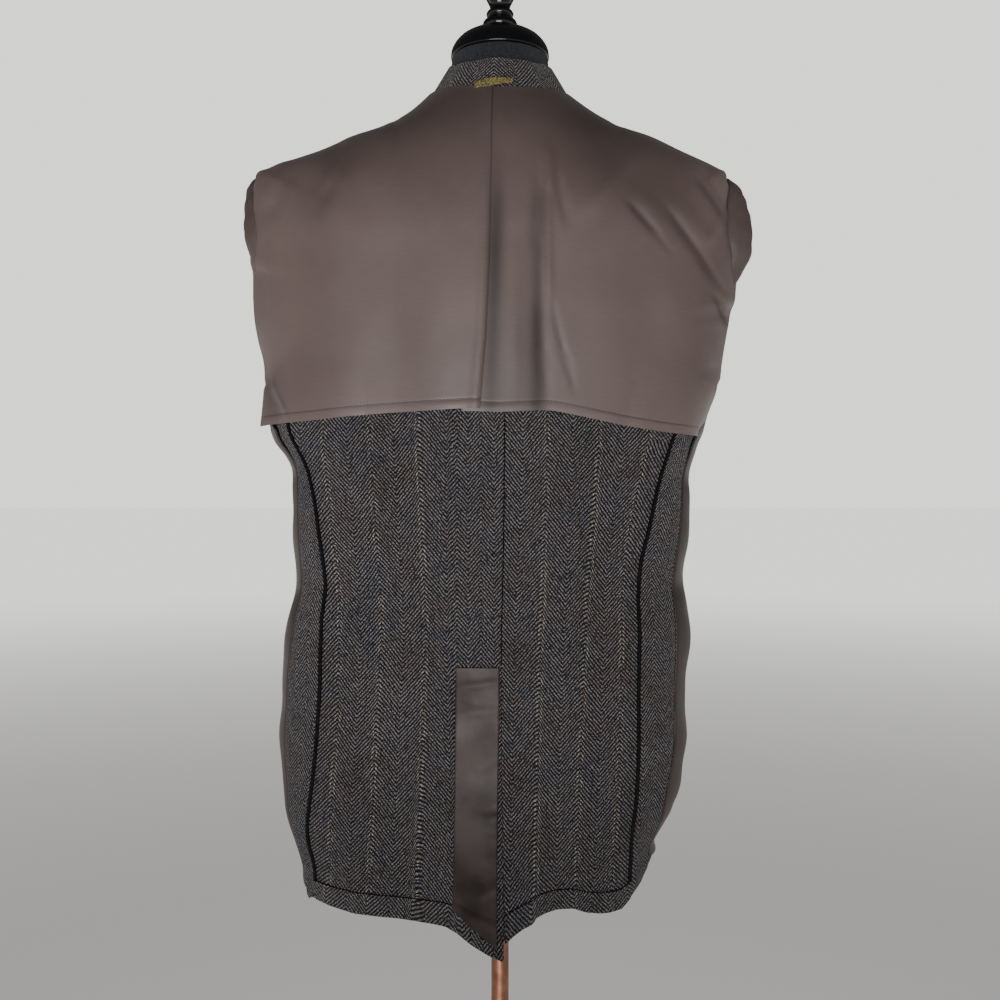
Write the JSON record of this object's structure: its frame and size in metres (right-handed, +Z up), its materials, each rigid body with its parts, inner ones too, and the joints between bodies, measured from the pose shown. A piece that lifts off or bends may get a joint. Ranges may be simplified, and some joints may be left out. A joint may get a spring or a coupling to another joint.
{
  "type": "sport coat, turned inside out, on a limbless dress form",
  "caption": "Half-lined herringbone sport coat turned inside out on a dress form with a round base: open neck, hem, cuffs and armholes, bound side seams and a centre vent.",
  "frame": {"origin": "centre of the underside of the stand's base, on the floor", "axes": "+Z up along the pole, +Y towards the coat's front opening, so the coat's back and its vent face -Y; +X is the coat's own right as it is worn inside out, on the right when it is seen from behind"},
  "size_m": [0.5018, 0.34, 1.66],
  "materials": {
    "herringbone_tweed": "napped wool, herringbone with fine light stripes",
    "satin_lining": "soft satin sheen",
    "bias_binding": "matte woven tape",
    "flecked_braid": "woven, flecked",
    "jersey": "matte knit over padding",
    "button_horn": "polished",
    "black_lacquer": "turned wood, black gloss lacquer",
    "black_metal": "satin black paint",
    "copper_pole": "reddish brown metallic paint"
  },
  "bodies": {
    "root": {"back_left": "herringbone_tweed", "back_right": "herringbone_tweed", "back_hem_left": "herringbone_tweed", "back_hem_right": "herringbone_tweed", "side_allowance_left": "herringbone_tweed", "side_allowance_right": "herringbone_tweed", "centre_allowance": "herringbone_tweed", "vent_underlap": "herringbone_tweed", "side_left": "herringbone_tweed", "side_right": "herringbone_tweed", "front_left": "herringbone_tweed", "front_right": "herringbone_tweed", "lapel_left": "herringbone_tweed", "lapel_right": "herringbone_tweed", "sleeve_left": "herringbone_tweed", "sleeve_right": "herringbone_tweed", "collar": "herringbone_tweed", "back_lining_left": "satin_lining", "back_lining_right": "satin_lining", "side_lining_left": "satin_lining", "side_lining_right": "satin_lining", "front_lining_left": "satin_lining", "front_lining_right": "satin_lining", "sleeve_lining_left": "satin_lining", "sleeve_lining_right": "satin_lining", "vent_facing": "satin_lining", "side_binding_left": "bias_binding", "side_binding_right": "bias_binding", "hanger_loop": "flecked_braid", "form_torso": "jersey", "button_upper": "button_horn", "button_lower": "button_horn", "neck_cap": "black_lacquer", "finial": "black_lacquer", "pole_flange": "black_metal", "base": "black_metal", "pole": "copper_pole"}
  },
  "joints": []
}
